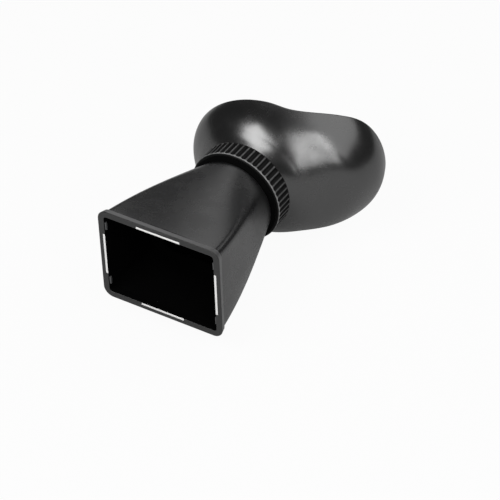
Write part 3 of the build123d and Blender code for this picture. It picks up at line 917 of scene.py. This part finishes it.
glass_finish = coated_glass()
for node in ("field_lens", "eye_lens"):
    low, high = span(node)
    glass = spin(lens_profile(low[1], high[1]), lens_columns)
    make_piece(node + "_glass", [(glass, False, True)], glass_finish, "lens_group",
               [node], 30)

# %% [markdown]
# ## Finishes for the pieces kept from the frame
# The barrel, the lens cell and the small hardware keep the meshes of the frame, because their
# shape is right as it is and a new skin would add nothing. Each one only gets a finish of its own:
# black anodised metal with fine turning rings, brass, blackened screws, oiled spring steel and a
# white slippery plastic.

# %% Metals and small parts


def turned_metal(name, colour, worn, metallic, rough):
    """Metal turned on a lathe: fine rings about the axis and slightly cloudy colour."""
    finish = Finish(name)
    rings = finish.noise(0.12, 1.0, stretch=(0.02, 1, 0.02))
    cloud = finish.ramp(finish.noise(2.5, 3.0), 0.4, 0.75)
    return finish.done(
        Base_Color=finish.mix(cloud * 0.6, colour, worn),
        Metallic=metallic,
        Roughness=rough + cloud * 0.1,
        Normal=finish.bump(rings, 0.004),
    )


def slippery_plastic():
    """Waxy white plastic of the thrust washer."""
    finish = Finish("slippery_plastic")
    cloud = finish.noise(1.5, 3.0)
    return finish.done(
        Base_Color=finish.mix(cloud, (0.62, 0.61, 0.57, 1), (0.5, 0.49, 0.45, 1)),
        Roughness=0.35 + cloud * 0.1,
    )


anodised = turned_metal("black_anodised", rgb(0.012), rgb(0.02), 0.3, 0.5)
brass = turned_metal("turned_brass", (0.72, 0.52, 0.22, 1), (0.5, 0.36, 0.16, 1), 1.0, 0.28)
kept_finishes = {
    # Barrel, carrier and lock ring get the barrel plastic, darkened as painted shade.
    "neck_barrel": barrel_painted_shade_finish,
    # The baffle gets the black lining finish: painted shade inside the housing.
    "light_baffle": lining_painted_shade_finish,
    "neck_screws": turned_metal("blackened_steel", rgb(0.05), rgb(0.09), 0.9, 0.4),
    "thrust_washer": slippery_plastic(),
    "cup_drag_ring": rubber_finish,
    "retaining_clip": turned_metal("oiled_spring_steel", rgb(0.28), rgb(0.2), 1.0, 0.3),
    "lens_cell": anodised,
    "guide_pins": brass,
    "lens_spacer": anodised,
    "lens_retainer": anodised,
    "cup_carrier": barrel_painted_shade_finish,
    "cup_lock_ring": barrel_painted_shade_finish,
}
for node, finish in kept_finishes.items():
    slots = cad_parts[node].data.materials
    slots.clear()
    slots.append(finish)
print("kept pieces:", ", ".join(kept_finishes))

# %% [markdown]
# ## Camera
# The camera stands where the photographer's stood: in front of the window, to its right and well
# above it, with a long lens and a slight roll. It could be aimed by hand with a Track To
# constraint, but its place and its right and up directions come more exactly from matching the
# corners of the frame and the circles of the neck in the picture.

# %% Camera
camera_place = np.array((484.2, -677.68, 698.4)) * MM
camera_right = np.array((0.85516, 0.51767, -0.0267))
camera_up = np.array((-0.31167, 0.55466, 0.77151))
camera_data = bpy.data.cameras.new("camera")
camera_data.sensor_width = 36.0
camera_data.lens = 157.8


def place_object(thing, right, up, back, place):
    """Turns an object so that its X, Y and Z point along right, up and back, at a place."""
    turned = np.eye(4)
    turned[:3, :3] = np.stack([right, up, back], 1)
    turned[:3, 3] = place
    thing.matrix_world = Matrix(turned.tolist())
    bpy.context.scene.collection.objects.link(thing)


camera_right /= np.linalg.norm(camera_right)
camera_back = np.cross(camera_right, camera_up)
camera_back /= np.linalg.norm(camera_back)
camera = bpy.data.objects.new("camera", camera_data)
place_object(camera, camera_right, np.cross(camera_back, camera_right), camera_back, camera_place)
bpy.context.scene.camera = camera
print("camera to window, mm:", np.linalg.norm(camera_place / MM).round())

# %% [markdown]
# ## Floor and light
# Black things are drawn by what they mirror, so what matters is where the lights stand as seen
# from the object, and how wide they look. A soft box in front on the left draws the round light on
# the cup's bowl, and a tall narrow strip on the right draws the one on the wing; the dark gap
# between them runs down the valley. A wide, weak panel on the right lights the wing's edge, and a
# dim strip behind on the left is what the housing's top mirrors. A white floor and a white room
# would flood the black parts with light, so their white shows only to the camera and through
# glass. What the parts mirror and are lit by is darker.

# %% Floor
floor_z = span("eyecup")[0][2] * MM
floor_radius, floor_middle, floor_points = 1.2, 0.06, 64
floor_white, floor_mirrored, floor_grey = 0.95, 0.1, 0.5


def ray_masks(finish):
    """1 for rays from the camera or through glass, and 1 for rays that a surface mirrors."""
    camera_ray = finish.node("LightPath", output="Is Camera Ray")
    glass_ray = finish.node("LightPath", output="Is Transmission Ray")
    mirror_ray = finish.node("LightPath", output="Is Glossy Ray")
    return camera_ray.or_more(glass_ray), mirror_ray


def white_floor():
    """Studio floor: plain diffuse grey, mostly replaced by an even white where it is seen."""
    finish = Finish("studio_floor")
    plain = finish.node("BsdfDiffuse", None, {"Color": rgb(floor_grey)})
    white = finish.node("Emission", None, {"Color": rgb(1.0), "Strength": 1.0})
    seen, mirror_ray = ray_masks(finish)
    share = (seen * floor_white).or_more(mirror_ray * floor_mirrored)
    blend = finish.node("MixShader", None, {0: share, 1: plain, 2: white})
    finish.node("OutputMaterial", None, {"Surface": blend})
    return finish.material


floor_turn = np.linspace(0, 2 * np.pi, floor_points, endpoint=False)
floor_edge = np.stack([np.cos(floor_turn), np.sin(floor_turn), 0 * floor_turn], -1) * floor_radius
floor_edge += (0, floor_middle, floor_z)
floor_mesh = bpy.data.meshes.new("floor")
floor_mesh.from_pydata(floor_edge, [], [list(range(floor_points))])
floor_mesh.materials.append(white_floor())
floor = bpy.data.objects.new("floor", floor_mesh)
bpy.context.scene.collection.objects.link(floor)
print("floor at", round(floor_z / MM, 2), "mm")

# %% Lamps
lamp_aim = np.array((0.0, 0.08, 0.0))
lamp_distance = 1.0


def toward(azimuth, height):
    """Unit vector at an azimuth, 0 in front of the window and 90 to its right, and a height."""
    a, h = np.radians(azimuth), np.radians(height)
    return np.array((np.sin(a) * np.cos(h), -np.cos(a) * np.cos(h), np.sin(h)))


def soft_box(name, azimuth, height, spread, brightness, lean):
    """Rectangular lamp that faces the object and fills a spread of degrees, wide by high.

    A lamp of area A and power P has a brightness of P / (pi A). It is turned by lean degrees
    about the line from the object to it, clockwise as seen from the object.
    """
    wide, high = (2 * lamp_distance * np.tan(np.radians(s) / 2) for s in spread)
    lamp = bpy.data.lights.new(name, "AREA")
    lamp.shape = "RECTANGLE"
    lamp.size, lamp.size_y = wide, high
    lamp.energy = brightness * np.pi * wide * high
    back = toward(azimuth, height)
    side = np.cross((0, 0, 1), back)
    side /= np.linalg.norm(side)
    lean = np.radians(lean)
    side = side * np.cos(lean) + np.cross(back, side) * np.sin(lean)
    place = lamp_aim + lamp_distance * back
    place_object(bpy.data.objects.new(name, lamp), side, np.cross(back, side), back, place)
    print(f"{name}: {wide / MM:.0f} x {high / MM:.0f} mm, {lamp.energy:.1f} W")


soft_box("left_box", -15, 46, (40, 28), 6.4, -31)
soft_box("right_strip", 57, 36, (8, 52), 6.4, -11)
soft_box("right_panel", 112, 53, (90, 47), 1.4, 12)
soft_box("back_strip", -153, 31, (12, 54), 0.9, 18)

# %% [markdown]
# The world stands for the room. It gives a little light from all round, is darker still in what
# surfaces mirror, as an unlit room is, and is white to the camera and through glass.

# %% Room
room_fill, room_mirrored = 0.1, 0.06
room = Finish("room", bpy.data.worlds)
seen, mirror_ray = ray_masks(room)
unseen = room_fill + mirror_ray * (room_mirrored - room_fill)
strength = unseen + seen * (1 - unseen)
backdrop = room.node("Background", None, {"Color": rgb(1.0), "Strength": strength})
room.node("OutputWorld", None, {"Surface": backdrop})
bpy.context.scene.world = room.material
bpy.context.scene.view_settings.view_transform = "Standard"
print("world:", room.material.name)
